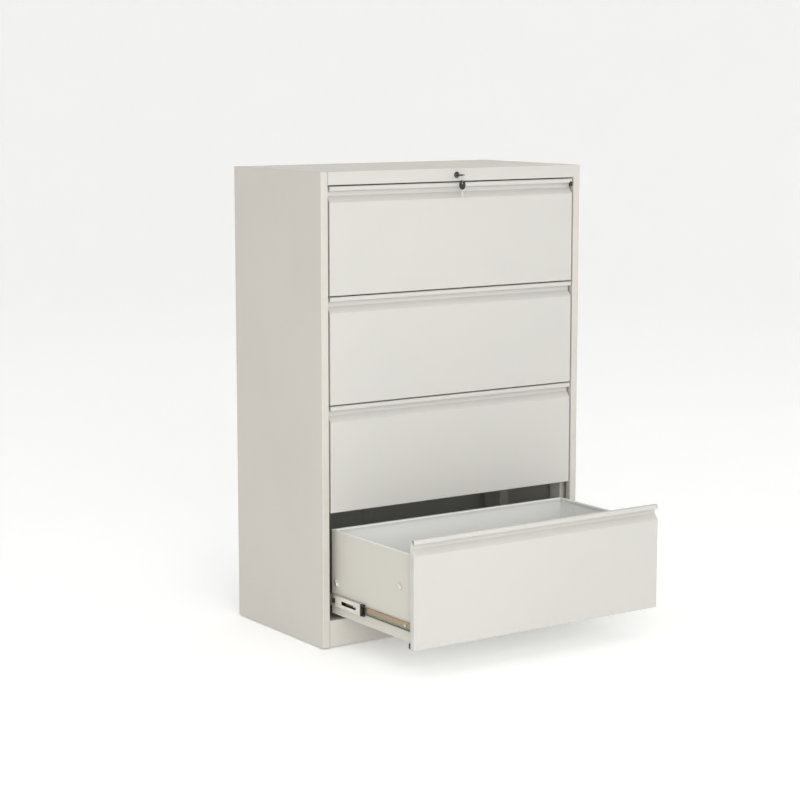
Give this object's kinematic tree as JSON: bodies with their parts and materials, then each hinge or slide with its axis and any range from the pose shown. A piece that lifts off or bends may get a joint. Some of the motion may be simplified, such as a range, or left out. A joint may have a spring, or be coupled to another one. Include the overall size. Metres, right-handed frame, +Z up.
{
  "type": "lateral filing cabinet",
  "caption": "Tall sheet-steel filing cabinet with wide pull-out drawers on telescopic slides, a folded full-width pull on each front, and a key lock that bars them all.",
  "frame": {"origin": "on the floor under the middle of the carcass footprint", "axes": "+X to the right seen from the front, +Y from the front to the back, +Z up; drawers open along -Y"},
  "size_m": [0.9, 0.875, 1.33],
  "materials": {
    "shell_paint": "satin baked paint",
    "front_paint": "satin baked paint",
    "inside_paint": "satin baked paint",
    "box_paint": "satin baked paint",
    "slide_zinc": "bright zinc plate",
    "slide_gold": "yellow passivated zinc plate",
    "cage_plastic": "moulded",
    "lock_dark": "dark nickel plate",
    "lock_zinc": "bright zinc plate",
    "key_steel": "nickel plate",
    "key_plastic": "moulded",
    "foot_plastic": "moulded",
    "clip_rubber": "moulded"
  },
  "bodies": {
    "cabinet": {"side_panel_left": "shell_paint", "side_panel_right": "shell_paint", "top_panel": "shell_paint", "back_panel": "inside_paint", "header_rail": "front_paint", "plinth": "shell_paint", "base_panel": "inside_paint", "slide_posts_left": "box_paint", "slide_posts_right": "box_paint", "slide_outers_left": "slide_zinc", "slide_outers_right": "slide_zinc", "slide_noses": "cage_plastic", "lock_barrel": "lock_dark", "lock_guides": "lock_zinc"},
    "feet": {"levelling_feet": "foot_plastic"},
    "drawer_1": {"drawer_1_front": "front_paint", "drawer_1_liner": "box_paint", "drawer_1_side_left": "box_paint", "drawer_1_side_right": "box_paint", "drawer_1_back": "box_paint", "drawer_1_bottom": "box_paint", "drawer_1_slide_inner": "slide_gold", "lip_clip": "clip_rubber"},
    "slide_mid_1": {"drawer_1_slide_mid": "slide_zinc", "drawer_1_slide_cages": "cage_plastic"},
    "drawer_2": {"drawer_2_front": "front_paint", "drawer_2_liner": "box_paint", "drawer_2_side_left": "box_paint", "drawer_2_side_right": "box_paint", "drawer_2_back": "box_paint", "drawer_2_bottom": "box_paint", "drawer_2_slide_inner": "slide_gold"},
    "slide_mid_2": {"drawer_2_slide_mid": "slide_zinc", "drawer_2_slide_cages": "cage_plastic"},
    "drawer_3": {"drawer_3_front": "front_paint", "drawer_3_liner": "box_paint", "drawer_3_side_left": "box_paint", "drawer_3_side_right": "box_paint", "drawer_3_back": "box_paint", "drawer_3_bottom": "box_paint", "drawer_3_slide_inner": "slide_gold"},
    "slide_mid_3": {"drawer_3_slide_mid": "slide_zinc", "drawer_3_slide_cages": "cage_plastic"},
    "drawer_4": {"drawer_4_front": "front_paint", "drawer_4_liner": "box_paint", "drawer_4_side_left": "box_paint", "drawer_4_side_right": "box_paint", "drawer_4_back": "box_paint", "drawer_4_bottom": "box_paint", "drawer_4_slide_inner": "slide_gold"},
    "slide_mid_4": {"drawer_4_slide_mid": "slide_zinc", "drawer_4_slide_cages": "cage_plastic"},
    "lock_plug": {"lock_plug": "lock_dark", "lock_cam": "lock_zinc"},
    "lock_rod": {"lock_rod": "lock_zinc"},
    "lock_bar": {"lock_bar": "lock_zinc"},
    "key": {"key_blade": "key_steel", "key_bow": "key_plastic"}
  },
  "joints": [
    {"name": "drawer_1_slide", "type": "slide", "parent": "cabinet", "child": "drawer_1", "axis": [0, -1, 0], "range_m": [0, 0.405]},
    {"name": "slide_mid_1_slide", "type": "slide", "parent": "cabinet", "child": "slide_mid_1", "axis": [0, -1, 0], "range_m": [0, 0.2025]},
    {"name": "drawer_2_slide", "type": "slide", "parent": "cabinet", "child": "drawer_2", "axis": [0, -1, 0], "range_m": [0, 0.405]},
    {"name": "slide_mid_2_slide", "type": "slide", "parent": "cabinet", "child": "slide_mid_2", "axis": [0, -1, 0], "range_m": [0, 0.2025]},
    {"name": "drawer_3_slide", "type": "slide", "parent": "cabinet", "child": "drawer_3", "axis": [0, -1, 0], "range_m": [0, 0.405]},
    {"name": "slide_mid_3_slide", "type": "slide", "parent": "cabinet", "child": "slide_mid_3", "axis": [0, -1, 0], "range_m": [0, 0.2025]},
    {"name": "drawer_4_slide", "type": "slide", "parent": "cabinet", "child": "drawer_4", "axis": [0, -1, 0], "range_m": [-0.405, 0]},
    {"name": "slide_mid_4_slide", "type": "slide", "parent": "cabinet", "child": "slide_mid_4", "axis": [0, -1, 0], "range_m": [-0.2025, 0]},
    {"name": "lock_bar_lift", "type": "slide", "parent": "cabinet", "child": "lock_bar", "axis": [0, 0, 1], "range_m": [0, 0.01414]},
    {"name": "lock_rod_slide", "type": "slide", "parent": "cabinet", "child": "lock_rod", "axis": [1, 0, 0], "range_m": [0, 0.01415]},
    {"name": "lock_turn", "type": "hinge", "parent": "cabinet", "child": "lock_plug", "pos_m": [0.003, -0.235, 1.3115], "axis": [0, 1, 0], "range_deg": [0, 90]},
    {"name": "key_pull", "type": "slide", "parent": "lock_plug", "child": "key", "axis": [0, -1, 0], "range_m": [0, 0.04]},
    {"name": "feet_adjust", "type": "slide", "parent": "cabinet", "child": "feet", "axis": [0, 0, -1], "range_m": [0, 0.015]}
  ],
  "couplings": [
    {"joint": "slide_mid_1_slide", "follows": "drawer_1_slide", "ratio": 0.5},
    {"joint": "slide_mid_2_slide", "follows": "drawer_2_slide", "ratio": 0.5},
    {"joint": "slide_mid_3_slide", "follows": "drawer_3_slide", "ratio": 0.5},
    {"joint": "slide_mid_4_slide", "follows": "drawer_4_slide", "ratio": 0.5},
    {"joint": "lock_rod_slide", "follows": "lock_bar_lift", "ratio": 1},
    {"joint": "lock_turn", "follows": "lock_bar_lift", "rad_per_m": 111.07}
  ]
}
